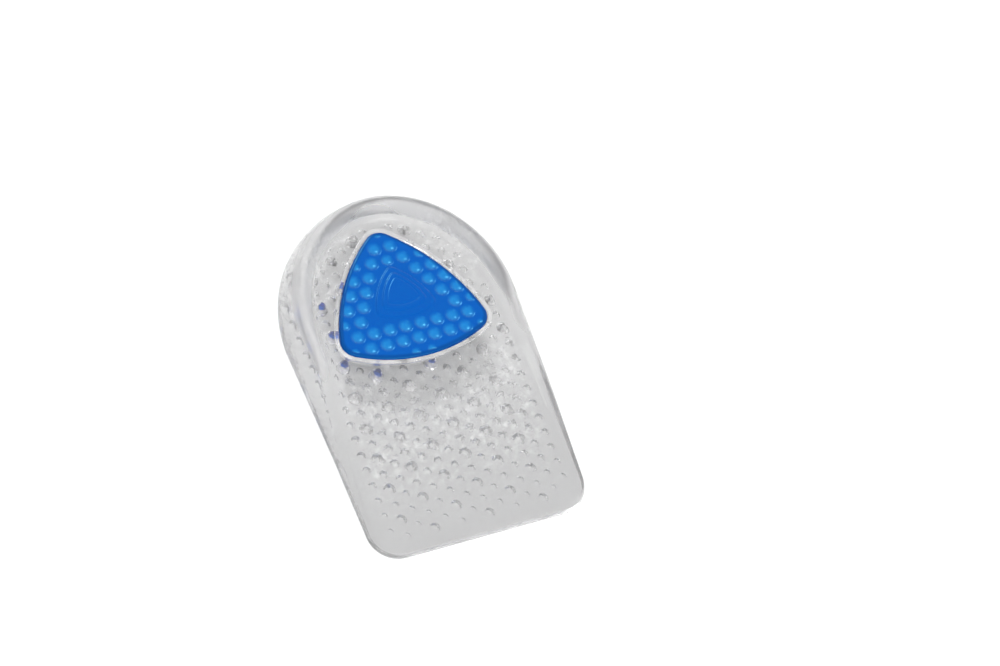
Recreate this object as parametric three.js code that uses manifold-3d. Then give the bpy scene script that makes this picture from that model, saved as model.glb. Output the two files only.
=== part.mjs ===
// A heel cup for the inside of a shoe: a clear soft gel shell with a raised wall round the
// heel, and a blue gel pad, a rounded triangle, set in its heel seat.
// Millimetres. +X is across the cup, +Y runs to the back of the heel, +Z is up. The origin is
// on the underside, at the middle of the cup's length and width.

import * as THREE from "three";
import { mergeVertices } from "three/addons/utils/BufferGeometryUtils.js";
import Module from "manifold-3d";

// The shell's driving sizes.
const cupLength = 107;
const heelWidth = 71;
const frontWidth = 65.6;
const heelDepth = 40.3; // from the widest part back to the end of the heel
const frontCornerRadius = 9;
const rimHeight = 16; // top of the wall at the back of the heel
const seatHeight = 10; // floor of the heel seat above the underside
const frontThickness = 2.2;
const frontEdgeBead = 0.3; // least height of the rim above the floor
const rimThickness = 2.8;
const rimInset = 3.8; // how far the rim leans in from the shell's widest line
const soleInset = 3.0; // how far the flat underside stops short of that line
const widestHeight = 3.0; // height of that line at the heel
const widestShare = 0.45; // and its highest share of the rim's height where the wall is low
const wallCurl = 1.6; // how late up the wall its lean begins; 1 is an even lean
const innerFaceWidth = 3.4; // plan width of the wall's inner face, from the rim to the seat

// The blue pad's driving sizes.
const padCornerRadius = 4.8;
const padSideRadius = 58; // its two bowed sides
const padFrontRadius = 44; // its bowed front
const padCornerSpread = 35; // between the centres of its two front corners
const padCornerRise = 27.5; // from those centres back to the rear corner's centre
const padRearMargin = 12.8; // from the back of the cup to the pad's rear corner
const padThickness = 4.6;
const padProud = 0.5; // how far the pad stands above the seat
const padEdgeRound = 0.8;
const padClearance = 0.3; // between the pad and its pocket, all round and below
const lipWidth = 1.1; // raised lip of the shell round the pocket
const lipRise = 0.45;

// The plain plate in the middle of the pad: two low steps of the pad's own outline, about a
// middle that lies this share of the way from its rear corner to its front ones.
const padMiddleShare = 0.555;
const plateShare = 0.42;
const plateInnerShare = 0.31;
const plateStep = 0.35;
const stepRoundShare = 0.85; // of a plate step's or the lip's height, taken by its round

// Dimples on the pad's top, in rows across the cup.
const dimplePitch = 4.8;
const dimpleRowStep = 4.3; // from one row to the next
const dimpleRadius = 2.1;
const dimpleDepth = 0.65;
const dimpleFirstRow = 5.35; // from the pad's rear corner to the rearmost row, a pair
const dimpleEdgeMargin = 0.3; // pad left plain between a dimple and the pad's outline
const dimplePlateMargin = 0.1; // and between a dimple and the plate
const dimpleLeastRadius = 0.9; // of a dimple made smaller to keep those margins

// Cushion cells moulded up into the underside, in columns along the cup: large ones at the
// full pitch and small ones at half that pitch between them. Depths are shares of the gel above.
const cellPitch = 9.5;
const cellOffset = 2.9; // sideways, from the middle of the cup to a column of large cells
const largeCell = { mouth: 2.1, roof: 1, depth: 0.4, sides: 7 };
const smallCell = { mouth: 1.3, roof: 0, depth: 0.3, sides: 5 };
const cellEdgeMargin = 2.4; // underside left plain between a cell and the outer edge

// How finely the round forms are cut into flat faces.
const stationStep = { corner: 2, front: 8, side: 4.4, heel: 3.3 }; // along the outline
const curveSteps = 4;
const seatRings = [0.8, 0.6, 0.4, 0.2];
const dimpleSides = 7;
const edgeSteps = { outline: 6, round: 2, step: 1, test: 10 };
const overrun = 1; // how far a cutter or a joined form runs past the face that it meets

// Sections along the cup, front to back. at is the share of the cup's length; floor is the
// share of the rise from front thickness to seat height; rim is the share of the rise from
// front thickness to rim height; lean is the share of the rim's full inset; wall is the share
// of the full wall and sole widths.
const sections = [
  { at: 0.0, floor: 0.0, rim: 0.03, lean: 0.1, wall: 0.2 },
  { at: 0.12, floor: 0.05, rim: 0.11, lean: 0.12, wall: 0.34 },
  { at: 0.25, floor: 0.28, rim: 0.26, lean: 0.2, wall: 0.55 },
  { at: 0.38, floor: 0.68, rim: 0.48, lean: 0.42, wall: 0.75 },
  { at: 0.48, floor: 0.98, rim: 0.68, lean: 0.7, wall: 0.9 },
  { at: 0.58, floor: 1.0, rim: 0.84, lean: 0.92, wall: 1.0 },
  { at: 0.74, floor: 1.0, rim: 0.95, lean: 0.95, wall: 1.0 },
  { at: 1.0, floor: 1.0, rim: 1.0, lean: 1.0, wall: 1.0 },
];

const frontY = -cupLength / 2;
const backY = cupLength / 2;
const heelCentreY = backY - heelDepth;
const wasm = await Module();
wasm.setup();

// The slope of a column of the sections table at a row; level where the column turns or rests.
function sectionSlope(column, i) {
  if (i === 0 || i === sections.length - 1) return 0;
  const [a, b, c] = sections.slice(i - 1, i + 2);
  const before = (b[column] - a[column]) / (b.at - a.at);
  const after = (c[column] - b[column]) / (c.at - b.at);
  return before * after > 0 ? (2 * before * after) / (before + after) : 0;
}

// A column of the sections table at a place along the cup, on a smooth curve through the rows.
function sectionValue(column, y) {
  const share = THREE.MathUtils.clamp((y - frontY) / cupLength, 0, 1);
  const next = Math.max(1, sections.findIndex((row) => row.at >= share));
  const a = sections[next - 1];
  const b = sections[next];
  const gap = b.at - a.at;
  const t = (share - a.at) / gap;
  const rise = t * t * (3 - 2 * t);
  const leave = t * (1 - t) * (1 - t) * gap * sectionSlope(column, next - 1);
  const arrive = t * t * (1 - t) * gap * sectionSlope(column, next);
  return THREE.MathUtils.lerp(a[column], b[column], rise) + leave - arrive;
}

const floorHeight = (y) =>
  frontThickness + (seatHeight - frontThickness) * sectionValue("floor", y);
const rimTop = (y) =>
  Math.max(
    frontThickness + (rimHeight - frontThickness) * sectionValue("rim", y),
    floorHeight(y) + frontEdgeBead,
  );

// The shell's widest line seen from above: a half ellipse at the heel, straight sides that
// taper to the front, and two corner arcs.
function cupOutline() {
  const cornerX = frontWidth / 2 - frontCornerRadius;
  const cornerY = frontY + frontCornerRadius;
  const outline = new THREE.Path();
  outline.moveTo(0, frontY);
  outline.lineTo(cornerX, frontY);
  outline.absarc(cornerX, cornerY, frontCornerRadius, -Math.PI / 2, 0, false);
  outline.absellipse(0, heelCentreY, heelWidth / 2, heelDepth, 0, Math.PI, false);
  outline.absarc(-cornerX, cornerY, frontCornerRadius, Math.PI, Math.PI * 1.5, false);
  outline.closePath();
  return outline;
}

// One section of the shell at a station: pairs of inset from the widest line and height, from
// the edge of the flat underside, up the outer face, over the rim and down to the seat floor.
function shellProfile(y) {
  const wall = sectionValue("wall", y);
  const top = rimTop(y);
  const floor = floorHeight(y);
  const widest = Math.min(widestHeight, top * widestShare);
  const sole = soleInset * wall;
  const rimOuter = rimInset * sectionValue("lean", y);
  const halfRim = (rimThickness / 2) * wall;
  const shoulder = top - Math.min(halfRim, (top - widest) / 2);
  const innerFace = halfRim + innerFaceWidth * wall;
  const points = [];
  for (let i = 0; i < curveSteps; i++) {
    const a = (i / curveSteps) * (Math.PI / 2);
    points.push([sole * (1 - Math.sin(a)), widest * (1 - Math.cos(a))]);
  }
  for (let i = 0; i < curveSteps; i++) {
    const t = i / curveSteps;
    points.push([rimOuter * Math.pow(t, wallCurl), widest + (shoulder - widest) * t]);
  }
  for (let i = 0; i <= curveSteps; i++) {
    const a = (i / curveSteps) * (Math.PI / 2);
    points.push([
      rimOuter + halfRim * (1 - Math.cos(a)),
      shoulder + (top - shoulder) * Math.sin(a),
    ]);
  }
  for (let i = 1; i <= curveSteps + 1; i++) {
    const t = i / (curveSteps + 1);
    points.push([
      rimOuter + halfRim + innerFace * t,
      top + (floor - top) * THREE.MathUtils.smoothstep(t, 0, 1),
    ]);
  }
  return points;
}

// A closed solid from rings of equal length, with a point at each end.
function solidFromRings(first, rings, last) {
  const count = rings[0].length;
  const corners = [first, ...rings.flat(), last].flatMap((p) => p.toArray());
  const at = (ring, i) => 1 + ring * count + (i % count);
  const end = 1 + rings.length * count;
  const faces = [];
  for (let i = 0; i < count; i++) {
    faces.push(0, at(0, i + 1), at(0, i));
    for (let ring = 0; ring + 1 < rings.length; ring++) {
      faces.push(at(ring, i), at(ring, i + 1), at(ring + 1, i + 1));
      faces.push(at(ring, i), at(ring + 1, i + 1), at(ring + 1, i));
    }
    faces.push(at(rings.length - 1, i), at(rings.length - 1, i + 1), end);
  }
  const geometry = new THREE.BufferGeometry();
  geometry.setAttribute("position", new THREE.Float32BufferAttribute(corners, 3));
  geometry.setIndex(faces);
  return toSolid(geometry);
}

function toSolid(geometry) {
  const bare = geometry.clone();
  bare.deleteAttribute("normal");
  bare.deleteAttribute("uv");
  const merged = mergeVertices(bare, 1e-4);
  const index = merged.index.array;
  const faces = [];
  for (let i = 0; i < index.length; i += 3) {
    const [a, b, c] = index.slice(i, i + 3);
    if (a !== b && b !== c && c !== a) faces.push(a, b, c);
  }
  return new wasm.Manifold(
    new wasm.Mesh({
      numProp: 3,
      vertProperties: merged.attributes.position.array,
      triVerts: new Uint32Array(faces),
    }),
  );
}

function toGeometry(solid) {
  const mesh = solid.getMesh();
  const geometry = new THREE.BufferGeometry();
  geometry.setAttribute("position", new THREE.BufferAttribute(mesh.vertProperties, 3));
  geometry.setIndex(new THREE.BufferAttribute(mesh.triVerts, 1));
  geometry.computeVertexNormals();
  return geometry;
}

// The uncut shell: rings round the outline, then rings that close over the seat floor.
function shellBlank() {
  const steps = ["front", "corner", "side", "heel", "side", "corner", "front"];
  const stations = cupOutline().curves.flatMap((curve, i) => {
    const count = Math.round(curve.getLength() / stationStep[steps[i]]);
    return Array.from({ length: count }, (_, k) => {
      const place = curve.getPointAt(k / count);
      const along = curve.getTangentAt(k / count);
      const inward = new THREE.Vector2(-along.y, along.x);
      return { place, inward, profile: shellProfile(place.y) };
    });
  });
  const rings = stations[0].profile.map((_, ring) =>
    stations.map(({ place, inward, profile }) => {
      const [inset, height] = profile[ring];
      const spot = place.clone().addScaledVector(inward, inset);
      return new THREE.Vector3(spot.x, spot.y, height);
    }),
  );
  const foot = rings[rings.length - 1];
  for (const share of seatRings) {
    rings.push(foot.map((p) => floorPoint(p.x * share, p.y * share)));
  }
  return solidFromRings(new THREE.Vector3(0, 0, 0), rings, floorPoint(0, 0));
}

const floorPoint = (x, y) => new THREE.Vector3(x, y, floorHeight(y));

// The pad's outline: three corner arcs joined by three bowed sides that touch them. share
// scales it about the middle of the pad, and grow moves it outwards.
const padRearY = backY - padRearMargin;
const rearCorner = new THREE.Vector2(0, padRearY - padCornerRadius);
const frontCornerY = rearCorner.y - padCornerRise;
const padCorners = [
  rearCorner,
  new THREE.Vector2(-padCornerSpread / 2, frontCornerY),
  new THREE.Vector2(padCornerSpread / 2, frontCornerY),
];
const padMiddle = new THREE.Vector2(0, rearCorner.y - padCornerRise * padMiddleShare);

function padOutline(share = 1, grow = 0) {
  const corners = padCorners.map((c) => padMiddle.clone().lerp(c, share));
  const cornerRadius = padCornerRadius * share;
  const sideRadii = [padSideRadius, padFrontRadius, padSideRadius].map((r) => r * share);
  const shape = new THREE.Shape();
  corners.forEach((corner, i) => {
    const before = corners[(i + 2) % 3];
    const after = corners[(i + 1) % 3];
    const last = bowCentre(before, corner, sideRadii[(i + 2) % 3] - cornerRadius);
    const next = bowCentre(corner, after, sideRadii[i] - cornerRadius);
    const from = corner.clone().sub(last).angle();
    const to = corner.clone().sub(next).angle();
    const far = after.clone().sub(next).angle();
    shape.absarc(corner.x, corner.y, cornerRadius + grow, from, to, false);
    shape.absarc(next.x, next.y, sideRadii[i] + grow, to, far, false);
  });
  return shape;
}

// The centre of the side that bows out between two corners taken anticlockwise.
function bowCentre(a, b, reach) {
  const half = b.clone().sub(a).multiplyScalar(0.5);
  const left = new THREE.Vector2(-half.y, half.x).normalize();
  const back = Math.sqrt(reach * reach - half.lengthSq());
  return a.clone().add(half).addScaledVector(left, back);
}

// A slab of an outline from one height to another, with its top and bottom edges rounded.
function slab(shape, bottom, top, round = 0, segments = edgeSteps.step) {
  const geometry = new THREE.ExtrudeGeometry(shape, {
    depth: top - bottom - 2 * round,
    bevelEnabled: round > 0,
    bevelThickness: round,
    bevelSize: round,
    bevelOffset: -round,
    bevelSegments: segments,
    curveSegments: edgeSteps.outline,
  });
  geometry.translate(0, 0, bottom + round);
  return toSolid(geometry);
}

const padTop = seatHeight + padProud;
const padBottom = padTop - padThickness;

// The points of a triangular lattice that pass a test. Its rows run across the cup, or along
// it where lengthwise is set.
function lattice(pitch, rowStep, lengthwise, origin, keep) {
  const reach = Math.ceil(cupLength / pitch);
  const points = [];
  for (let row = -reach; row <= reach; row++) {
    for (let i = -reach; i <= reach; i++) {
      const along = (i + (row % 2 ? 0.5 : 0)) * pitch;
      const point = new THREE.Vector2(along, row * rowStep);
      if (lengthwise) point.rotateAround(new THREE.Vector2(), Math.PI / 2);
      point.add(origin);
      if (keep(point)) points.push(point);
    }
  }
  return points;
}

// How far a point lies inside a closed outline; negative outside it.
function depthInside(points, p) {
  let inside = false;
  let nearest = Infinity;
  points.forEach((a, i) => {
    const b = points[(i + 1) % points.length];
    if (a.y > p.y !== b.y > p.y && p.x < a.x + ((p.y - a.y) * (b.x - a.x)) / (b.y - a.y)) {
      inside = !inside;
    }
    const side = b.clone().sub(a);
    const t = THREE.MathUtils.clamp(p.clone().sub(a).dot(side) / (side.lengthSq() || 1), 0, 1);
    nearest = Math.min(nearest, p.distanceTo(a.clone().addScaledVector(side, t)));
  });
  return inside ? nearest : -nearest;
}

// A ball whose lowest cap makes one dimple in a surface at the given height.
function dimpleBall({ spot, mouth }, surface) {
  const depth = (dimpleDepth * mouth) / dimpleRadius;
  const radius = (mouth ** 2 + depth ** 2) / (2 * depth);
  const geometry = new THREE.SphereGeometry(radius, dimpleSides, dimpleSides);
  geometry.rotateX(Math.PI / 2);
  geometry.translate(spot.x, spot.y, surface - depth + radius);
  return toSolid(geometry);
}

// The pad's dimples: full size, or smaller beside its outline and its plate.
function padDimples() {
  const edge = padOutline().getPoints(edgeSteps.test);
  const plate = padOutline(plateShare).getPoints(edgeSteps.test);
  const room = (p) =>
    Math.min(
      dimpleRadius,
      depthInside(edge, p) - dimpleEdgeMargin,
      -depthInside(plate, p) - dimplePlateMargin,
    );
  const firstRow = new THREE.Vector2(dimplePitch / 2, padRearY - dimpleFirstRow);
  const keep = (p) => room(p) > dimpleLeastRadius;
  const spots = lattice(dimplePitch, dimpleRowStep, false, firstRow, keep);
  return wasm.Manifold.union(
    spots.map((spot) => dimpleBall({ spot, mouth: room(spot) }, padTop)),
  );
}

// One step of the plate, a share of the pad's outline, up to the given rise above the pad.
function plateSlab(share, rise) {
  return slab(padOutline(share), padTop - overrun, padTop + rise, plateStep * stepRoundShare);
}

function gelPad() {
  const body = slab(padOutline(), padBottom, padTop, padEdgeRound, edgeSteps.round);
  return body
    .subtract(padDimples())
    .add(plateSlab(plateShare, plateStep))
    .add(plateSlab(plateInnerShare, 2 * plateStep));
}

// A cell's cutter: a short tapered plug that reaches up into the gel from below.
function cellPlug(spot, { mouth, roof, depth, sides }) {
  const height = depth * floorHeight(spot.y);
  const flare = mouth + ((mouth - roof) * overrun) / height;
  const geometry = new THREE.CylinderGeometry(roof, flare, height + overrun, sides);
  geometry.rotateX(Math.PI / 2);
  geometry.translate(spot.x, spot.y, (height - overrun) / 2);
  return toSolid(geometry);
}

function cellPlugs() {
  const sole = cupOutline().getPoints(edgeSteps.test);
  const fits = (p, cell) =>
    depthInside(sole, p) > soleInset * sectionValue("wall", p.y) + cell.mouth + cellEdgeMargin;
  const first = new THREE.Vector2(cellOffset, 0);
  const rowStep = (cellPitch * Math.sqrt(3)) / 2;
  const large = lattice(cellPitch, rowStep, true, first, (p) => fits(p, largeCell));
  const small = lattice(cellPitch / 2, rowStep / 2, true, first, (p) =>
    fits(p, smallCell) && large.every((q) => q.distanceTo(p) > cellPitch / 4),
  );
  return wasm.Manifold.union([
    ...large.map((p) => cellPlug(p, largeCell)),
    ...small.map((p) => cellPlug(p, smallCell)),
  ]);
}

function gelShell() {
  const lipTop = seatHeight + lipRise;
  const lipOutline = padOutline(1, padClearance + lipWidth);
  const lip = slab(lipOutline, padBottom, lipTop, lipRise * stepRoundShare);
  const pocket = slab(padOutline(1, padClearance), padBottom - padClearance, lipTop + overrun);
  return shellBlank().add(lip).subtract(pocket).subtract(cellPlugs());
}

const clearGel = new THREE.MeshStandardMaterial({
  name: "clear_gel",
  color: 0xd9dcdc,
  roughness: 0.12,
  metalness: 0,
  transparent: true,
  opacity: 0.45,
});
const blueGel = new THREE.MeshStandardMaterial({
  name: "blue_gel",
  color: 0x0a62cf,
  roughness: 0.3,
  metalness: 0,
});

function part(name, solid, material) {
  const mesh = new THREE.Mesh(toGeometry(solid), material);
  mesh.name = name;
  return mesh;
}

const heelCup = new THREE.Group();
heelCup.name = "heel_cup";
heelCup.add(part("cup_shell", gelShell(), clearGel));
heelCup.add(part("heel_pad", gelPad(), blueGel));

export default heelCup;
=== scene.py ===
"""A clear gel heel cup with a blue gel pad set in its heel seat, on a pale studio floor."""

import math

import bmesh
import bpy
from mathutils import Matrix, Vector


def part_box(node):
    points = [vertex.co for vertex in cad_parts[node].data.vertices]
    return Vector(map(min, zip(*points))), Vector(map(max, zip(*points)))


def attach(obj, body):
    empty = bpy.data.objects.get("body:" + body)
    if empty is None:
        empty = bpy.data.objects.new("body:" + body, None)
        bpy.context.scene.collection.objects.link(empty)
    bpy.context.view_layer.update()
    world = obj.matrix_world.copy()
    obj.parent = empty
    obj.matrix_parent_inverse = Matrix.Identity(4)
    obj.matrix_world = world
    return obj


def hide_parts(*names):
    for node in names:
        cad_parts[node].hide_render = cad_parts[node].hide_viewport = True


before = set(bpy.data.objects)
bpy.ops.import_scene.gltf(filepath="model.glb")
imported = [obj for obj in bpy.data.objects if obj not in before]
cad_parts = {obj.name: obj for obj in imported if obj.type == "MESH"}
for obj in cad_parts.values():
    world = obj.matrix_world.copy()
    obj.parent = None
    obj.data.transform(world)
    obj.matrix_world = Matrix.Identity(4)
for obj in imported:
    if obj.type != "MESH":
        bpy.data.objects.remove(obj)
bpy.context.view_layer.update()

SHELL_LOW, SHELL_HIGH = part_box("cup_shell")
MM = 0.001

bl_info = {
    "name": "Gel Heel Cup",
    "version": (1, 0, 0),
    "blender": (4, 5, 0),
    "location": "View3D > Sidebar > Heel Cup",
    "description": "Builds a clear gel heel cup, its blue gel pad and a studio",
    "category": "Add Mesh",
}

# Sections along the cup, front to back. at is the share of the length; floor and rim are shares
# of the rise from the front thickness to the seat and to the rim; lean is the share of the rim's
# inset; wall is the share of the wall and sole widths.
SECTIONS = (
    {"at": 0.0, "floor": 0.0, "rim": 0.03, "lean": 0.1, "wall": 0.2},
    {"at": 0.12, "floor": 0.05, "rim": 0.11, "lean": 0.12, "wall": 0.34},
    {"at": 0.25, "floor": 0.28, "rim": 0.26, "lean": 0.2, "wall": 0.55},
    {"at": 0.38, "floor": 0.68, "rim": 0.48, "lean": 0.42, "wall": 0.75},
    {"at": 0.48, "floor": 0.98, "rim": 0.68, "lean": 0.7, "wall": 0.9},
    {"at": 0.58, "floor": 1.0, "rim": 0.84, "lean": 0.92, "wall": 1.0},
    {"at": 0.74, "floor": 1.0, "rim": 0.95, "lean": 0.95, "wall": 1.0},
    {"at": 1.0, "floor": 1.0, "rim": 1.0, "lean": 1.0, "wall": 1.0},
)
WIDEST_SHARE = 0.45  # the widest line lies no higher than this share of the rim's height
WALL_CURVE = 1.6  # the power at which the wall leans in as it rises
LIP_ROUND = 0.85  # rounding of the lip round the pocket, a share of its rise
POCKET_OVER = 1 * MM  # how far the tool that cuts the pocket stands above the lip

# How finely the forms are divided: points round a line, rings, and steps of a curve.
CORNER_POINTS, HEEL_POINTS = 60, 400
PAD_CORNER_POINTS, PAD_SIDE_POINTS = 40, 60
OUTLINE_POINTS, SHELL_POINTS, PAD_POINTS, CELL_POINTS = 120, 288, 360, 12
SEAT_RINGS, PAD_RINGS = 25, 80
SOLE_STEPS, WALL_STEPS, RIM_STEPS, INNER_STEPS, ROUND_STEPS = 7, 8, 8, 12, 5
SHELL_SMOOTH, PAD_SMOOTH = math.radians(32), math.radians(50)
LEAST_FACES = 10  # a piece with fewer was lost in a boolean step

# Cells in the underside. A profile runs from the mouth to the roof, in shares of the mouth's
# radius and of the depth. room is the radius kept clear of the border, mouth the radius, part
# the depth as a share of the gel's thickness, and most the greatest depth.
BELL = ((1.2, -0.03), (1.0, 0.02), (0.84, 0.14), (0.68, 0.4), (0.5, 0.7), (0.3, 0.92), (0.1, 1.0))
BLUNT = ((1.2, -0.03), (1.0, 0.02), (0.88, 0.14), (0.8, 0.4), (0.72, 0.7), (0.62, 0.92), (0.45, 1.0))
LARGE_CELL = {"room": 2.1 * MM, "mouth": 2.1 * MM, "part": 0.4, "most": 4 * MM}
SMALL_CELL = {"room": 1.3 * MM, "mouth": 1.5 * MM, "part": 0.21, "most": 1 * MM}

# Large cells beside the pad, and the roofs among them on which the pad's reflection is painted.
BESIDE_FRONT = -1 * MM  # no such cell lies further forward
BESIDE_PAD = (-1 * MM, 5 * MM)  # least and greatest distance from the pad's outline
MIRROR_WAY = Vector((-0.7, -0.7))  # to the left and front, seen from the pad's middle
MIRROR_FROM = 2 * MM  # how far that way a cell has to lie
ROOF_HEIGHT = (1.4 * MM, 4.5 * MM)  # least and greatest height of a roof
ROOF_REACH = 1.7 * MM  # how far a roof extends from the cell's middle

# Marks on the gel. A pair says where a rise starts and how wide it is.
FROST_UP = (0.0, 2.5 * MM)  # above the seat
FROST_AWAY = (4 * MM, 4 * MM)  # from the pad
UNDERSIDE = 0.45  # a spot below this share of the gel's thickness is underneath
UNDERSIDE_FROST = 0.38
LIP_BELOW = 0.5 * MM  # the lip's painted highlight starts this far below the seat
LIP_REACH = 1.3 * MM  # and ends this far from the pad
WALL_HIGHLIGHT = 0.3  # strength of the highlight painted on the top of the wall
WALL_RISE = 0.8  # share of the wall's rise above the seat at which it is reached
GRAIN_ALONG = (-0.44, 0.25)  # shares of the length, from the middle
GRAIN_ACROSS = (0.7, 0.2)  # shares of half the front width
GRAIN_REAR = (8 * MM, 8 * MM)  # from the back of the cup
GRAIN_AWAY = (2 * MM, 7 * MM)  # from the pad
RIPPLE_HEIGHT, SKIN_HEIGHT = 0.4 * MM, 0.7 * MM  # of the gel's fine moulding marks

# The pad's top. A dimple's measures are shares of its mouth, the plate's shares of the pad.
PAD_MIDDLE = 0.555  # from the rear corner's centre to the middle, a share of the rise
DIMPLE_TRIES = 12  # rows and columns of dimples tried on each side of the first
LEAST_DIMPLE = 0.9 * MM  # radius of the smallest
PLATE_GAP = 0.1 * MM  # between a dimple and the plate
DIMPLE_EDGE, BOWL_FADE, THIN_FADE = 1.12, 0.24, 0.8
EDGE_FADE = 0.04  # the pad's border, in which dimples fade out and a darker shade is painted
PLATE_FADE = 0.02  # width of each step of the plate
LINE_AT, LINE_HALF, LINE_DEPTH = 0.22, 0.015, 0.5  # the fine line, its depth a share of a step
NO_HEIGHT = 0.01 * MM  # a height below this counts as none

# The stage. PICTURE is the picture's size and AIM where the cup's middle lies in it, in pixels.
PICTURE, AIM = (1000, 666), (418.13, 370.54)
SENSOR = 36  # width in millimetres
# Each lamp's name, place, size and power in watts.
LAMPS = (
    ("Key", (0.1, 1.4, 1.3), 0.5, 10),
    ("Fill", (0.3, -1.7, 0.9), 1.4, 14),
    ("Front", (-0.75, -0.8, 1.6), 1.4, 9),
)


def length(name, default, description):
    return bpy.props.FloatProperty(
        name=name, default=default, min=0.0, unit="LENGTH", description=description
    )


def share(name, default, description):
    return bpy.props.FloatProperty(
        name=name, default=default, min=0.0, max=4.0, subtype="FACTOR", description=description
    )


def colour(name, default, description):
    return bpy.props.FloatVectorProperty(
        name=name,
        default=default,
        size=4,
        min=0.0,
        max=1.0,
        subtype="COLOR",
        description=description,
    )


class HeelCupShellSettings(bpy.types.PropertyGroup):
    cup_length: length("Length", SHELL_HIGH[1] - SHELL_LOW[1], "Front edge to the back of the heel")
    heel_width: length("Heel width", SHELL_HIGH[0] - SHELL_LOW[0], "Across the widest part")
    front_width: length("Front width", 65.6 * MM, "Across the thin front")
    heel_depth: length("Heel depth", 40.3 * MM, "From the widest part to the back of the heel")
    corner_radius: length("Corner radius", 9 * MM, "Of the two front corners")
    rim_height: length("Rim height", SHELL_HIGH[2] - SHELL_LOW[2], "Top of the wall at the back")
    seat_height: length("Seat height", 10 * MM, "Of the heel seat above the underside")
    front_thickness: length("Front thickness", 2.2 * MM, "Of the gel at the front edge")
    edge_bead: length("Edge bead", 0.3 * MM, "Least height of the rim above the floor")
    rim_thickness: length("Rim thickness", 2.8 * MM, "Of the wall at its top")
    rim_inset: length("Rim inset", 3.8 * MM, "How far the rim leans in")
    sole_inset: length("Sole inset", 3 * MM, "How far the flat underside stops short")
    widest_height: length("Widest height", 3 * MM, "Height of the widest line")
    inner_face: length("Inner face", 3.4 * MM, "Plan width of the wall's inner face")
    lip_width: length("Lip width", 1.1 * MM, "Of the raised lip round the pocket")
    lip_rise: length("Lip rise", 0.45 * MM, "Of that lip above the seat")
    cell_offset: length("Cell offset", 2.9 * MM, "Sideways, from the middle to a column of cells")
    cell_pitch: length("Cell pitch", 9.5 * MM, "Between the large cells in the underside")
    cell_margin: length("Cell margin", 2.4 * MM, "Plain border of the underside")
    gel: colour("Gel", (0.59, 0.59, 0.593, 1.0), "Colour of the thin clear gel")
    milky: colour("Milky", (0.64, 0.64, 0.643, 1.0), "Colour of the thick gel")
    # The pad's reflection, painted on the roofs of the cells beside it.
    painted_reflection_blue: colour("Mirrored", (0.0, 0.025, 0.4, 1.0), "The pad's blue, seen in cells beside it")
    # Painted highlight on the lip and the top of the wall, and the painted glints.
    bright: colour("Bright", (0.92, 0.92, 0.92, 1.0), "Colour of the lip round the pocket and of specks")


class HeelPadSettings(bpy.types.PropertyGroup):
    corner_radius: length("Corner radius", 4.8 * MM, "Of the pad's three corners")
    side_radius: length("Side radius", 58 * MM, "Of its two bowed sides")
    front_radius: length("Front radius", 44 * MM, "Of its bowed front")
    spread: length("Corner spread", 35 * MM, "Between the centres of the front corners")
    rise: length("Corner rise", 27.5 * MM, "From those centres back to the rear corner's")
    rear_margin: length("Rear margin", 12.8 * MM, "From the back of the cup to the pad")
    thickness: length("Thickness", 4.6 * MM, "Of the pad at its edge")
    proud: length("Proud", 0.5 * MM, "How far the pad stands above the seat")
    edge_round: length("Edge round", 0.8 * MM, "Of the pad's top and bottom edges")
    clearance: length("Clearance", 0.3 * MM, "Between the pad and its pocket")
    plate: share("Plate", 0.42, "Outer step of the plain plate, a share of the pad")
    plate_inner: share("Inner plate", 0.31, "Inner step of the plate")
    plate_step: length("Plate step", 0.3 * MM, "Height of each step")
    dimple_pitch: length("Dimple pitch", 4.8 * MM, "Between dimples in a row")
    dimple_rows: length("Dimple rows", 4.3 * MM, "Between one row and the next")
    dimple_radius: length("Dimple radius", 2.15 * MM, "At the mouth")
    dimple_depth: length("Dimple depth", 0.65 * MM, "Below the pad's top")
    first_row: length("First row", 5.35 * MM, "From the rear corner to the first row")
    blue: colour("Blue", (0.0, 0.078, 0.41, 1.0), "Colour of the thick gel")
    # Painted shade on the pad's sides and the border of its top.
    deep: colour("Deep", (0.0, 0.05, 0.27, 1.0), "Colour at the pad's edge")
    teal: colour("Teal", (0.013, 0.195, 0.54, 1.0), "Colour of the thin gel in a dimple")


class HeelCupStageSettings(bpy.types.PropertyGroup):
    floor_size: length("Floor size", 8.0, "Across the studio floor")
    floor_drop: length("Floor drop", 0.03 * MM, "Between the underside and the floor")
    floor: colour("Floor", (0.9, 0.9, 0.9, 1.0), "Colour of the floor")
    focal: bpy.props.FloatProperty(name="Focal length", default=85.0, description="In millimetres")
    turn: bpy.props.FloatProperty(name="Turn", default=-43.46, description="Of the camera, degrees")
    height: bpy.props.FloatProperty(name="Height", default=57.65, description="Camera's, degrees")
    roll: bpy.props.FloatProperty(name="Roll", default=24.93, description="Camera's, degrees")
    distance: length("Distance", 0.66875, "Of the camera from the cup")


# Measuring functions


def section(column, y, s):
    """A column of the sections table at y, on a smooth curve through its rows."""
    rows = SECTIONS
    at = min(max(y / s.cup_length + 0.5, 0.0), 1.0)
    k = next((i for i, row in enumerate(rows) if row["at"] >= at), len(rows) - 1)
    k = max(k, 1)
    a, b = rows[k - 1], rows[k]
    gap = b["at"] - a["at"]
    t = (at - a["at"]) / gap

    def slope(i):
        if i in (0, len(rows) - 1):
            return 0.0
        before = (rows[i][column] - rows[i - 1][column]) / (rows[i]["at"] - rows[i - 1]["at"])
        after = (rows[i + 1][column] - rows[i][column]) / (rows[i + 1]["at"] - rows[i]["at"])
        return 2 * before * after / (before + after) if before * after > 0 else 0.0

    rise = t * t * (3 - 2 * t)
    ease = t * (1 - t) * (1 - t) * gap * slope(k - 1) - t * t * (1 - t) * gap * slope(k)
    return a[column] + (b[column] - a[column]) * rise + ease


def floor_height(y, s):
    return s.front_thickness + (s.seat_height - s.front_thickness) * section("floor", y, s)


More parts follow.
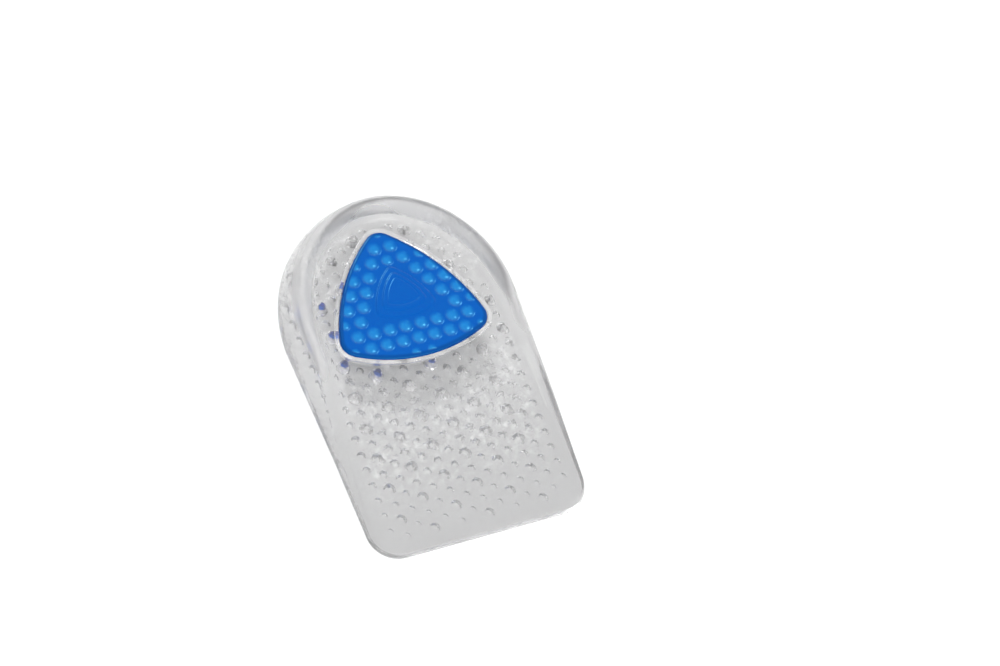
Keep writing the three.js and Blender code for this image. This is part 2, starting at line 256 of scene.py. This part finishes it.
def rim_top(y, s):
    top = s.front_thickness + (s.rim_height - s.front_thickness) * section("rim", y, s)
    return max(top, floor_height(y, s) + s.edge_bead)


def smooth_step(t):
    t = min(max(t, 0.0), 1.0)
    return t * t * (3 - 2 * t)


def ramp(value, start, width):
    """0 up to start, 1 from width past it, and a smooth rise between."""
    return smooth_step((value - start) / width)


def spaced(points, count):
    """count points evenly along a closed line."""
    ends = points[1:] + points[:1]
    steps = [(b - a).length for a, b in zip(points, ends)]
    gap = sum(steps) / count
    out, k, gone = [], 0, 0.0
    for i in range(count):
        while gone + steps[k] < i * gap:
            gone += steps[k]
            k += 1
        out.append(points[k].lerp(ends[k], (i * gap - gone) / steps[k]))
    return out


def arc(centre, reach, start, stop, count):
    """count points on an arc of a circle or ellipse, the last one left out."""
    rx, ry = reach if isinstance(reach, tuple) else (reach, reach)
    angles = [start + (stop - start) * i / count for i in range(count)]
    return [Vector((centre[0] + rx * math.cos(a), centre[1] + ry * math.sin(a))) for a in angles]


def cup_outline(s, count):
    """The shell's widest line from above: points and their inward directions."""
    front = -s.cup_length / 2
    cx, cy = s.front_width / 2 - s.corner_radius, front + s.corner_radius
    heel = s.cup_length / 2 - s.heel_depth
    line = [Vector((0, front))]
    line += arc((cx, cy), s.corner_radius, -math.pi / 2, 0, CORNER_POINTS)
    line += arc((0, heel), (s.heel_width / 2, s.heel_depth), 0, math.pi, HEEL_POINTS)
    line += arc((-cx, cy), s.corner_radius, math.pi, math.pi * 1.5, CORNER_POINTS)
    line += [Vector((-cx, front))]
    points = spaced(line, count)
    inward = []
    for i in range(count):
        along = points[(i + 1) % count] - points[i - 1]
        inward.append(Vector((-along.y, along.x)).normalized())
    return points, inward


def pad_outline(p, back, part=1.0, grow=0.0, count=OUTLINE_POINTS):
    """The pad's outline: three corner arcs and three bowed sides that touch them.

    part is its size, a share of the pad's, and grow how far it is then moved outwards.
    """
    rear = Vector((0, back - p.rear_margin - p.corner_radius))
    left = Vector((-p.spread / 2, rear.y - p.rise))
    right = Vector((p.spread / 2, rear.y - p.rise))
    middle = pad_middle(p, back)
    corners = [middle.lerp(c, part) for c in (rear, left, right)]
    radii = [r * part for r in (p.side_radius, p.front_radius, p.side_radius)]
    small = p.corner_radius * part

    def bow(a, b, reach):
        half = (b - a) / 2
        square = Vector((-half.y, half.x)).normalized()
        return a + half + square * math.sqrt(reach * reach - half.length_squared)

    def angle(v):
        return math.atan2(v.y, v.x)

    line = []
    for i, corner in enumerate(corners):
        before, after = corners[i - 1], corners[(i + 1) % 3]
        last = bow(before, corner, radii[i - 1] - small)
        following = bow(corner, after, radii[i] - small)
        a, b, c = angle(corner - last), angle(corner - following), angle(after - following)
        b += math.tau * math.ceil((a - b) / math.tau)
        c += math.tau * math.ceil((b - c) / math.tau)
        line += arc(corner, small + grow, a, b, PAD_CORNER_POINTS)
        line += arc(following, radii[i] + grow, b, c, PAD_SIDE_POINTS)
    return spaced(line, count)


def pad_middle(p, back):
    return Vector((0, back - p.rear_margin - p.corner_radius - PAD_MIDDLE * p.rise))


def depth_inside(line, q):
    """How far a point lies inside a closed line; negative outside it."""
    inside, nearest = False, math.inf
    for a, b in zip(line, line[1:] + line[:1]):
        if (a.y > q.y) != (b.y > q.y) and q.x < a.x + (q.y - a.y) * (b.x - a.x) / (b.y - a.y):
            inside = not inside
        side = b - a
        t = min(max((q - a).dot(side) / (side.length_squared or 1.0), 0.0), 1.0)
        nearest = min(nearest, (q - a - side * t).length)
    return nearest if inside else -nearest


def lattice(pitch, rows, lengthwise, origin, reach, keep):
    """The points of a triangular lattice, with rows that far apart, that pass a test."""
    out = []
    for row in range(-reach, reach + 1):
        for i in range(-reach, reach + 1):
            along, across = (i + 0.5 * (row % 2)) * pitch, row * rows
            q = origin + (Vector((-across, along)) if lengthwise else Vector((along, across)))
            if keep(q):
                out.append(q)
    return out


# Modelling steps


def ring_solid(name, rings):
    """A closed solid: a filled circle laid on the first ring, then extruded to each other one."""
    bpy.ops.object.select_all(action="DESELECT")
    bpy.ops.mesh.primitive_circle_add(vertices=len(rings[0]), radius=MM, fill_type="NGON")
    piece = bpy.context.object
    piece.name = piece.data.name = name
    bpy.ops.object.mode_set(mode="EDIT")
    mesh = bmesh.from_edit_mesh(piece.data)
    station = mesh.verts.layers.int.new("station")
    for i, v in enumerate(mesh.verts):
        v[station] = i
        v.co = rings[0][i]
    bmesh.update_edit_mesh(piece.data)
    for ring in rings[1:]:
        bpy.ops.mesh.extrude_region_move()
        mesh = bmesh.from_edit_mesh(piece.data)
        station = mesh.verts.layers.int["station"]
        for v in mesh.verts:
            if v.select:
                v.co = ring[v[station]]
        bmesh.update_edit_mesh(piece.data)
    bpy.ops.mesh.select_all(action="SELECT")
    bpy.ops.mesh.normals_make_consistent(inside=False)
    mesh = bmesh.from_edit_mesh(piece.data)
    mesh.verts.layers.int.remove(mesh.verts.layers.int["station"])
    bmesh.update_edit_mesh(piece.data)
    bpy.ops.object.mode_set(mode="OBJECT")
    return piece


def combine(piece, tool, operation):
    """Join a tool's form to a piece, or cut it out, and remove the tool."""
    bpy.ops.object.select_all(action="DESELECT")
    bpy.context.view_layer.objects.active = piece
    piece.select_set(True)
    step = piece.modifiers.new(operation.title(), "BOOLEAN")
    step.operation, step.object, step.solver = operation, tool, "MANIFOLD"
    bpy.ops.object.modifier_apply(modifier=step.name)
    bpy.data.objects.remove(tool)
    if len(piece.data.polygons) < LEAST_FACES:
        raise RuntimeError(f"{piece.name}: the {operation.lower()} left nothing")


def join_copies(original, places):
    """Copies of a small solid at the given places and sizes, joined into one object."""
    bpy.ops.object.select_all(action="DESELECT")
    for spot, size in places:
        copy = original.copy()
        copy.data = original.data.copy()
        bpy.context.collection.objects.link(copy)
        copy.data.transform(Matrix.Translation(spot) @ Matrix.Diagonal((*size, 1.0)))
        copy.select_set(True)
        bpy.context.view_layer.objects.active = copy
    bpy.data.objects.remove(original)
    bpy.ops.object.join()
    return bpy.context.object


def mark_points(piece, name, values):
    """An attribute of that name on a piece's points, for its material."""
    attribute = piece.data.attributes.new(name, "FLOAT", "POINT")
    attribute.data.foreach_set("value", [float(value) for value in values])


def place_key(spot):
    """A point's place from above, rounded so that it can be looked up."""
    return round(spot.x, 7), round(spot.y, 7)


def at_height(line, z):
    return [Vector((q.x, q.y, z)) for q in line]


def slab(name, p, back, grow, low, high, edge):
    """A slab of the pad's outline, its top edge rounded by edge, or square where that is 0."""
    rings = [at_height(pad_outline(p, back, grow=grow), low)]
    steps = ROUND_STEPS if edge else 1
    for i in range(steps + 1):
        a = math.pi / 2 * i / steps
        line = pad_outline(p, back, grow=grow - edge * (1 - math.cos(a)))
        rings.append(at_height(line, high - edge * (1 - math.sin(a))))
    return ring_solid(name, rings if edge else rings[:2])


# Materials


def shader_material(name):
    material = bpy.data.materials.new(name)
    material.use_nodes = True
    tree = material.node_tree
    return material, tree, tree.nodes["Principled BSDF"]


def gel_surface_group():
    """Fine moulding marks of gel: a slow ripple and a fine skin as a normal, and pale spots painted on
    as glints.
    """
    group = bpy.data.node_groups.new("Gel skin", "ShaderNodeTree")
    face = group.interface
    for name, value in (("Ripple size", 120.0), ("Skin size", 900.0), ("Ripple", 0.2), ("Skin", 0.1)):
        face.new_socket(name, in_out="INPUT", socket_type="NodeSocketFloat").default_value = value
    face.new_socket("Normal", in_out="OUTPUT", socket_type="NodeSocketVector")
    face.new_socket("Glints", in_out="OUTPUT", socket_type="NodeSocketFloat")
    nodes, links = group.nodes, group.links
    inputs, outputs = nodes.new("NodeGroupInput"), nodes.new("NodeGroupOutput")
    place = nodes.new("ShaderNodeTexCoord")
    ripple, skin = nodes.new("ShaderNodeTexNoise"), nodes.new("ShaderNodeTexNoise")
    low, high = nodes.new("ShaderNodeBump"), nodes.new("ShaderNodeBump")
    for noise, size in ((ripple, "Ripple size"), (skin, "Skin size")):
        noise.inputs["Detail"].default_value = 3.0
        links.new(place.outputs["Object"], noise.inputs["Vector"])
        links.new(inputs.outputs[size], noise.inputs["Scale"])
    bumps = (low, ripple, "Ripple", RIPPLE_HEIGHT), (high, skin, "Skin", SKIN_HEIGHT)
    for bump, noise, strength, height in bumps:
        bump.inputs["Distance"].default_value = height
        links.new(inputs.outputs[strength], bump.inputs["Strength"])
        links.new(noise.outputs["Fac"], bump.inputs["Height"])
    links.new(low.outputs["Normal"], high.inputs["Normal"])
    links.new(high.outputs["Normal"], outputs.inputs["Normal"])
    # Painted glints: pale spots where the fine skin's noise is high, as strong as the skin.
    pale, amount = nodes.new("ShaderNodeMapRange"), nodes.new("ShaderNodeMath")
    pale.inputs["From Min"].default_value = 0.54
    pale.inputs["From Max"].default_value = 0.72
    amount.operation = "MULTIPLY"
    links.new(skin.outputs["Fac"], pale.inputs["Value"])
    links.new(pale.outputs["Result"], amount.inputs[0])
    links.new(inputs.outputs["Skin"], amount.inputs[1])
    links.new(amount.outputs["Value"], outputs.inputs["Glints"])
    return group


def place_group(tree, group, **values):
    node = tree.nodes.new("ShaderNodeGroup")
    node.node_tree = group
    for name, value in values.items():
        node.inputs[name.replace("_", " ")].default_value = value
    return node


def piece_mark(tree, name):
    """The socket that gives the piece's own attribute of that name."""
    attribute = tree.nodes.new("ShaderNodeAttribute")
    attribute.attribute_name = name
    return attribute.outputs["Fac"]


def tint(tree, gel, plain, tints):
    """Colour a gel plain, and with each tint where the socket given with it is high."""
    before = None
    for mark, shade in tints:
        mix = tree.nodes.new("ShaderNodeMix")
        mix.data_type = "RGBA"
        mix.inputs["A"].default_value = plain
        mix.inputs["B"].default_value = shade
        tree.links.new(mark, mix.inputs["Factor"])
        if before:
            tree.links.new(before, mix.inputs["A"])
        before = mix.outputs["Result"]
    tree.links.new(before, gel.inputs["Base Color"])


def clear_gel(settings, skin):
    """Clear silicone gel that lets lamps through to what lies under it."""
    material, tree, gel = shader_material("Clear_gel")
    spread = tree.nodes.new("ShaderNodeMapRange")
    spread.inputs["To Min"].default_value = 0.1
    spread.inputs["To Max"].default_value = 0.35
    tree.links.new(piece_mark(tree, "frost"), spread.inputs["Value"])
    tree.links.new(spread.outputs["Result"], gel.inputs["Roughness"])
    gel.inputs["IOR"].default_value = 1.41
    gel.inputs["Transmission Weight"].default_value = 0.88
    marks = place_group(tree, skin, Ripple_size=160.0, Skin_size=550.0, Ripple=0.3, Skin=1.0)
    # This mask sets both the skin's bumps and the strength of the painted glints.
    tree.links.new(piece_mark(tree, "grain_and_glints"), marks.inputs["Skin"])
    tints = (
        (piece_mark(tree, "thick"), settings.milky),
        # Painted glints from the skin's noise.
        (marks.outputs["Glints"], settings.bright),
        # Painted highlight on the lip round the pocket and the top of the wall.
        (piece_mark(tree, "lip"), settings.bright),
        # The pad's reflection, painted on the roofs of the cells beside it.
        (piece_mark(tree, "mirror"), settings.painted_reflection_blue),
    )
    tint(tree, gel, settings.gel, tints)
    tree.links.new(marks.outputs["Normal"], gel.inputs["Normal"])
    path = tree.nodes.new("ShaderNodeLightPath")
    through = tree.nodes.new("ShaderNodeBsdfTransparent")
    through.inputs["Color"].default_value = (0.93, 0.93, 0.93, 1.0)
    mix = tree.nodes.new("ShaderNodeMixShader")
    tree.links.new(path.outputs["Is Shadow Ray"], mix.inputs["Fac"])
    tree.links.new(gel.outputs["BSDF"], mix.inputs[1])
    tree.links.new(through.outputs["BSDF"], mix.inputs[2])
    tree.links.new(mix.outputs["Shader"], tree.nodes["Material Output"].inputs["Surface"])
    return material


def blue_gel(settings, skin):
    """Soft blue gel, paler where a dimple makes it thin, with shade painted darker on its sides and
    border.
    """
    material, tree, gel = shader_material("Blue_gel")
    gel.inputs["Roughness"].default_value = 0.23
    gel.inputs["Specular IOR Level"].default_value = 0.6
    gel.inputs["Specular Tint"].default_value = (0.12, 0.7, 0.9, 1.0)
    gel.inputs["Subsurface Weight"].default_value = 0.2
    gel.inputs["Subsurface Radius"].default_value = (0.3, 0.6, 1.0)
    gel.inputs["Subsurface Scale"].default_value = 1.0 * MM
    marks = place_group(tree, skin, Ripple_size=220.0, Skin_size=1300.0, Ripple=0.3, Skin=0.04)
    # The edge tint is painted shade on the pad's sides and border.
    tints = (piece_mark(tree, "thin"), settings.teal), (piece_mark(tree, "edge"), settings.deep)
    tint(tree, gel, settings.blue, tints)
    tree.links.new(marks.outputs["Normal"], gel.inputs["Normal"])
    return material


# Operators


class HEELCUP_OT_shell(bpy.types.Operator):
    """Model the clear gel cup"""

    bl_idname = "heelcup.shell"
    bl_label = "Clear gel cup"

    def profile(self, y, s):
        """Inset and height pairs from the sole, over the rim and down to the seat."""
        wall = section("wall", y, s)
        top, floor = rim_top(y, s), floor_height(y, s)
        widest = min(s.widest_height, top * WIDEST_SHARE)
        sole = s.sole_inset * wall
        outer = s.rim_inset * section("lean", y, s)
        half = s.rim_thickness / 2 * wall
        shoulder = top - min(half, (top - widest) / 2)
        across = half + s.inner_face * wall
        pairs = []
        for i in range(SOLE_STEPS):
            a = math.pi / 2 * i / SOLE_STEPS
            pairs.append((sole * (1 - math.sin(a)), widest * (1 - math.cos(a))))
        for i in range(WALL_STEPS):
            t = i / WALL_STEPS
            pairs.append((outer * t**WALL_CURVE, widest + (shoulder - widest) * t))
        for i in range(RIM_STEPS + 1):
            a = math.pi / 2 * i / RIM_STEPS
            inset, height = half * (1 - math.cos(a)), (top - shoulder) * math.sin(a)
            pairs.append((outer + inset, shoulder + height))
        for i in range(1, INNER_STEPS + 1):
            t = i / INNER_STEPS
            pairs.append((outer + half + across * t, top + (floor - top) * smooth_step(t)))
        return pairs

    def blank(self, s):
        """The cup before its lip, pocket and cells: rings over the rim and in to its middle."""
        points, inward = cup_outline(s, SHELL_POINTS)
        profiles = [self.profile(q.y, s) for q in points]
        rings = []
        for k in range(len(profiles[0])):
            ring = []
            for q, way, pairs in zip(points, inward, profiles):
                spot = q + way * pairs[k][0]
                ring.append(Vector((spot.x, spot.y, pairs[k][1])))
            rings.append(ring)
        foot = rings[-1]
        for k in range(1, SEAT_RINGS):
            part = 1 - k / SEAT_RINGS
            rings.append(
                [Vector((v.x * part, v.y * part, floor_height(v.y * part, s))) for v in foot]
            )
        return ring_solid("Cup_shell", rings)

    def cell(self, profile):
        """A small solid with a rounded roof that moulds one cushion cell."""
        angles = [math.tau * i / CELL_POINTS for i in range(CELL_POINTS)]
        rings = [[Vector((r * math.cos(a), r * math.sin(a), z)) for a in angles] for r, z in profile]
        return ring_solid("Cell", rings)

    def cells(self, s, p):
        """The tools that mould the cells, and the places of the large ones beside the pad."""
        outline, _ = cup_outline(s, OUTLINE_POINTS)
        pad = pad_outline(p, s.cup_length / 2)
        middle = Vector((s.cell_offset, 0))
        rows = s.cell_pitch * math.sqrt(3) / 2
        reach = int(s.cup_length / s.cell_pitch * 2) + 1

        def fits(q, kind):
            edge = s.sole_inset * section("wall", q.y, s) + kind["room"] + s.cell_margin
            return depth_inside(outline, q) > edge

        def fits_between(q):
            return fits(q, SMALL_CELL) and all((q - r).length > s.cell_pitch / 4 for r in large)

        def lies_beside(q):
            near, far = BESIDE_PAD
            return q.y > BESIDE_FRONT and near < -depth_inside(pad, q) < far

        large = lattice(s.cell_pitch, rows, True, middle, reach, lambda q: fits(q, LARGE_CELL))
        small = lattice(s.cell_pitch / 2, rows / 2, True, middle, reach, fits_between)
        beside = [q for q in large if lies_beside(q)]
        others = [q for q in large if q not in beside]
        tools = []
        for profile, spots, kind in (
            (BLUNT, beside, LARGE_CELL),
            (BELL, others, LARGE_CELL),
            (BELL, small, SMALL_CELL),
        ):
            places = []
            for q in spots:
                deep = min(kind["part"] * floor_height(q.y, s), kind["most"])
                places.append((Vector((q.x, q.y, 0)), (kind["mouth"], kind["mouth"], deep)))
            tools.append(join_copies(self.cell(profile), places))
        return tools, beside

    def mirror(self, spot, beside, s, p):
        """1 on the roofs of the cells beside the pad's left and front, where the pad's reflection is
        painted in its blue.
        """
        low, high = ROOF_HEIGHT
        if not low < spot.z < high:
            return 0.0
        middle = pad_middle(p, s.cup_length / 2)
        for q in beside:
            if (q - middle).dot(MIRROR_WAY) > MIRROR_FROM and (spot.xy - q).length < ROOF_REACH:
                return 1.0
        return 0.0

    def frost(self, spot, away, s):
        """How frosted the gel is: a little underneath, most on the wall's inner side."""
        if spot.z < UNDERSIDE * floor_height(spot.y, s):
            return UNDERSIDE_FROST
        return ramp(spot.z - s.seat_height, *FROST_UP) * ramp(away, *FROST_AWAY)

    def lip(self, spot, away, s):
        """How much highlight is painted on the gel's edges: the lip round the pocket and the top of the
        wall.
        """
        if spot.z > s.seat_height - LIP_BELOW and away < LIP_REACH:
            return 1.0
        rise = WALL_RISE * (s.rim_height - s.seat_height)
        return WALL_HIGHLIGHT * ramp(spot.z, s.seat_height, rise)

    def grain_and_glints(self, spot, away, s):
        """How grainy the gel is and how strong its painted glints are: plain on the walls, round the pad
        and towards the front edge.
        """
        along = ramp(spot.y / s.cup_length, *GRAIN_ALONG)
        across = 1 - ramp(abs(spot.x) / (s.front_width / 2), *GRAIN_ACROSS)
        rear = ramp(s.cup_length / 2 - spot.y, *GRAIN_REAR)
        return along * across * rear * ramp(away, *GRAIN_AWAY)

    def execute(self, context):
        s, p = context.scene.heel_cup_shell, context.scene.heel_pad
        back = s.cup_length / 2
        piece = self.blank(s)
        low = s.seat_height + p.proud - p.thickness
        top = s.seat_height + s.lip_rise
        lip = slab("Lip", p, back, p.clearance + s.lip_width, low, top, s.lip_rise * LIP_ROUND)
        combine(piece, lip, "UNION")
        pocket = slab("Pocket", p, back, p.clearance, low - p.clearance, top + POCKET_OVER, 0)
        combine(piece, pocket, "DIFFERENCE")
        tools, beside = self.cells(s, p)
        for tool in tools:
            combine(piece, tool, "DIFFERENCE")
        pad = pad_outline(p, back)
        spots = [v.co.copy() for v in piece.data.vertices]
        away = [-depth_inside(pad, spot.xy) for spot in spots]
        mark_points(piece, "frost", [self.frost(spot, far, s) for spot, far in zip(spots, away)])
        mark_points(piece, "thick", [section("floor", spot.y, s) for spot in spots])
        # Grain, and how strong the painted glints are.
        mark_points(piece, "grain_and_glints", [self.grain_and_glints(spot, far, s) for spot, far in zip(spots, away)])
        # Where the pad's reflection is painted on the cells' roofs.
        mark_points(piece, "mirror", [self.mirror(spot, beside, s, p) for spot in spots])
        # Painted highlight on the lip round the pocket and on the top of the wall.
        mark_points(piece, "lip", [self.lip(spot, far, s) for spot, far in zip(spots, away)])
        bpy.ops.object.shade_smooth_by_angle(angle=SHELL_SMOOTH)
        piece.data.materials.clear()
        piece.data.materials.append(clear_gel(s, bpy.data.node_groups["Gel skin"]))
        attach(piece, "root")
        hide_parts("cup_shell")
        return {"FINISHED"}


class HEELCUP_OT_pad(bpy.types.Operator):
    """Model the blue gel pad with its dimples and plain plate"""

    bl_idname = "heelcup.pad"
    bl_label = "Blue gel pad"

    def dimples(self, p, back):
        """Each dimple's centre and mouth radius, smaller beside the outline and the plate."""
        edge = pad_outline(p, back)
        plate = pad_outline(p, back, part=p.plate)
        rear = back - p.rear_margin

        def room(q):
            beside = min(depth_inside(edge, q), -depth_inside(plate, q) - PLATE_GAP)
            return min(p.dimple_radius, beside)

        def fits(q):
            return room(q) > LEAST_DIMPLE

        first = Vector((p.dimple_pitch / 2, rear - p.first_row))
        spots = lattice(p.dimple_pitch, p.dimple_rows, False, first, DIMPLE_TRIES, fits)
        return [(q, room(q)) for q in spots]

    def plate_height(self, p, part):
        """The two steps of the plate and the fine line inside them."""
        outer = smooth_step((p.plate - part) / PLATE_FADE)
        inner = smooth_step((p.plate_inner - part) / PLATE_FADE)
        line = max(0.0, 1 - abs(part - LINE_AT) / LINE_HALF)
        return p.plate_step * (outer + inner - LINE_DEPTH * line)

    def side_rings(self, p, back, low, top):
        """Rings up the pad's side, with its bottom and top edges rounded."""
        rings = []
        for start, stop, level, way in ((math.pi / 2, 0, low, 1), (0, math.pi / 2, top, -1)):
            for i in range(ROUND_STEPS + 1):
                a = start + (stop - start) * i / ROUND_STEPS
                grow = -p.edge_round * (1 - math.cos(a))
                z = level + p.edge_round * (1 - math.sin(a)) * way
                rings.append(at_height(pad_outline(p, back, grow=grow, count=PAD_POINTS), z))
        return rings

    def top_rings(self, p, back, rim, top):
        """Rings over the dimpled top, and by place how thin each point is and how near the edge, where
        shade is painted.
        """
        middle = pad_middle(p, back)
        centre = Vector((middle.x, middle.y, top))
        dimples = self.dimples(p, back)
        rings, marks = [], {}
        for k in range(1, PAD_RINGS):
            part = 1 - k / PAD_RINGS
            inside = ramp(1 - part, 0, EDGE_FADE)
            ring = []
            for v in rim:
                q = centre.lerp(v, part)
                flat = q.xy
                q.z = top + self.plate_height(p, part)
                thin = 0.0
                for spot, mouth in dimples:
                    d = (flat - spot).length / mouth
                    if d < DIMPLE_EDGE:
                        bowl = ramp(DIMPLE_EDGE - d, 0, BOWL_FADE) * max(0.0, 1 - d * d)
                        q.z -= p.dimple_depth * (mouth / p.dimple_radius) * bowl * inside
                        thin = max(thin, ramp(DIMPLE_EDGE - d, 0, THIN_FADE))
                marks[place_key(q)] = (thin, 1 - inside)
                ring.append(q)
            rings.append(ring)
        return rings, marks

    def execute(self, context):
        s, p = context.scene.heel_cup_shell, context.scene.heel_pad
        back = s.cup_length / 2
        top = s.seat_height + p.proud
        low = top - p.thickness
        sides = self.side_rings(p, back, low, top)
        face, marks = self.top_rings(p, back, sides[-1], top)
        piece = ring_solid("Heel_pad", sides + face)
        pairs = []
        for v in piece.data.vertices:
            # The sides get the painted edge shade, the bottom none.
            side = (0.0, float(v.co.z > low + NO_HEIGHT))
            pairs.append(marks.get(place_key(v.co), side))
        mark_points(piece, "thin", [thin for thin, _ in pairs])
        mark_points(piece, "edge", [edge for _, edge in pairs])
        bpy.ops.object.shade_smooth_by_angle(angle=PAD_SMOOTH)
        piece.data.materials.clear()
        piece.data.materials.append(blue_gel(p, bpy.data.node_groups["Gel skin"]))
        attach(piece, "root")
        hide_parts("heel_pad")
        return {"FINISHED"}


class HEELCUP_OT_stage(bpy.types.Operator):
    """Set the pale floor, the soft lights and the camera"""

    bl_idname = "heelcup.stage"
    bl_label = "Studio"

    def lamp(self, name, place, size, power):
        light = bpy.data.lights.new(name, "AREA")
        light.shape, light.size, light.energy = "DISK", size, power
        lamp = bpy.data.objects.new(name, light)
        lamp.location = place
        lamp.rotation_euler = (-Vector(place)).to_track_quat("-Z", "Y").to_euler()
        bpy.context.collection.objects.link(lamp)

    def camera(self, s):
        turn, rise, roll = (math.radians(a) for a in (s.turn, s.height, s.roll))
        out = Vector(
            (math.sin(turn) * math.cos(rise), -math.cos(turn) * math.cos(rise), math.sin(rise))
        )
        right = Vector((0, 0, 1)).cross(out).normalized()
        up = out.cross(right)
        right, up = (
            math.cos(roll) * right + math.sin(roll) * up,
            -math.sin(roll) * right + math.cos(roll) * up,
        )
        pixels = s.focal / SENSOR * PICTURE[0]
        across, above = AIM[0] - PICTURE[0] / 2, PICTURE[1] / 2 - AIM[1]
        aside = Vector((across / pixels, above / pixels)) * s.distance
        place = out * s.distance - right * aside.x - up * aside.y
        camera = bpy.data.objects.new("Camera", bpy.data.cameras.new("Camera"))
        camera.data.lens = s.focal
        camera.data.sensor_width = SENSOR
        camera.data.clip_start = 0.01
        turned = Matrix((right, up, out)).transposed().to_4x4()
        camera.matrix_world = Matrix.Translation(place) @ turned
        bpy.context.collection.objects.link(camera)
        bpy.context.scene.camera = camera

    def execute(self, context):
        s = context.scene.heel_cup_stage
        bpy.ops.object.select_all(action="DESELECT")
        bpy.ops.mesh.primitive_plane_add(size=s.floor_size, location=(0, 0, -s.floor_drop))
        floor = bpy.context.object
        floor.name = "Floor"
        material, _, paint = shader_material("Studio_floor")
        paint.inputs["Base Color"].default_value = s.floor
        paint.inputs["Roughness"].default_value = 0.9
        paint.inputs["Specular IOR Level"].default_value = 0.1
        floor.data.materials.append(material)
        for name, place, size, power in LAMPS:
            self.lamp(name, place, size, power)
        world = bpy.data.worlds.new("Studio")
        world.use_nodes = True
        world.node_tree.nodes["Background"].inputs["Color"].default_value = (1, 1, 1, 1)
        world.node_tree.nodes["Background"].inputs["Strength"].default_value = 0.85
        context.scene.world = world
        context.scene.view_settings.view_transform = "Standard"
        context.scene.cycles.transmission_bounces = 16
        context.scene.cycles.max_bounces = 20
        self.camera(s)
        return {"FINISHED"}


class HEELCUP_PT_panel(bpy.types.Panel):
    bl_label = "Heel Cup"
    bl_idname = "HEELCUP_PT_panel"
    bl_space_type = "VIEW_3D"
    bl_region_type = "UI"
    bl_category = "Heel Cup"

    def draw(self, context):
        for settings, _, operator in GROUPS:
            box = self.layout.box()
            box.operator(operator)
            group = getattr(context.scene, settings)
            for name in group.bl_rna.properties.keys():
                if name not in ("rna_type", "name"):
                    box.prop(group, name)


# The scene's settings, the class of each and the operator that it belongs to.
GROUPS = (
    ("heel_cup_stage", HeelCupStageSettings, "heelcup.stage"),
    ("heel_cup_shell", HeelCupShellSettings, "heelcup.shell"),
    ("heel_pad", HeelPadSettings, "heelcup.pad"),
)
OPERATORS = (HEELCUP_OT_stage, HEELCUP_OT_shell, HEELCUP_OT_pad)
CLASSES = (*(group for _, group, _ in GROUPS), *OPERATORS, HEELCUP_PT_panel)


def register():
    for made in CLASSES:
        bpy.utils.register_class(made)
    for name, group, _ in GROUPS:
        setattr(bpy.types.Scene, name, bpy.props.PointerProperty(type=group))


def unregister():
    for name, _, _ in GROUPS:
        delattr(bpy.types.Scene, name)
    for made in reversed(CLASSES):
        bpy.utils.unregister_class(made)


def main():
    register()
    gel_surface_group()
    bpy.ops.heelcup.stage()
    bpy.ops.heelcup.shell()
    bpy.ops.heelcup.pad()


if __name__ == "__main__":
    main()
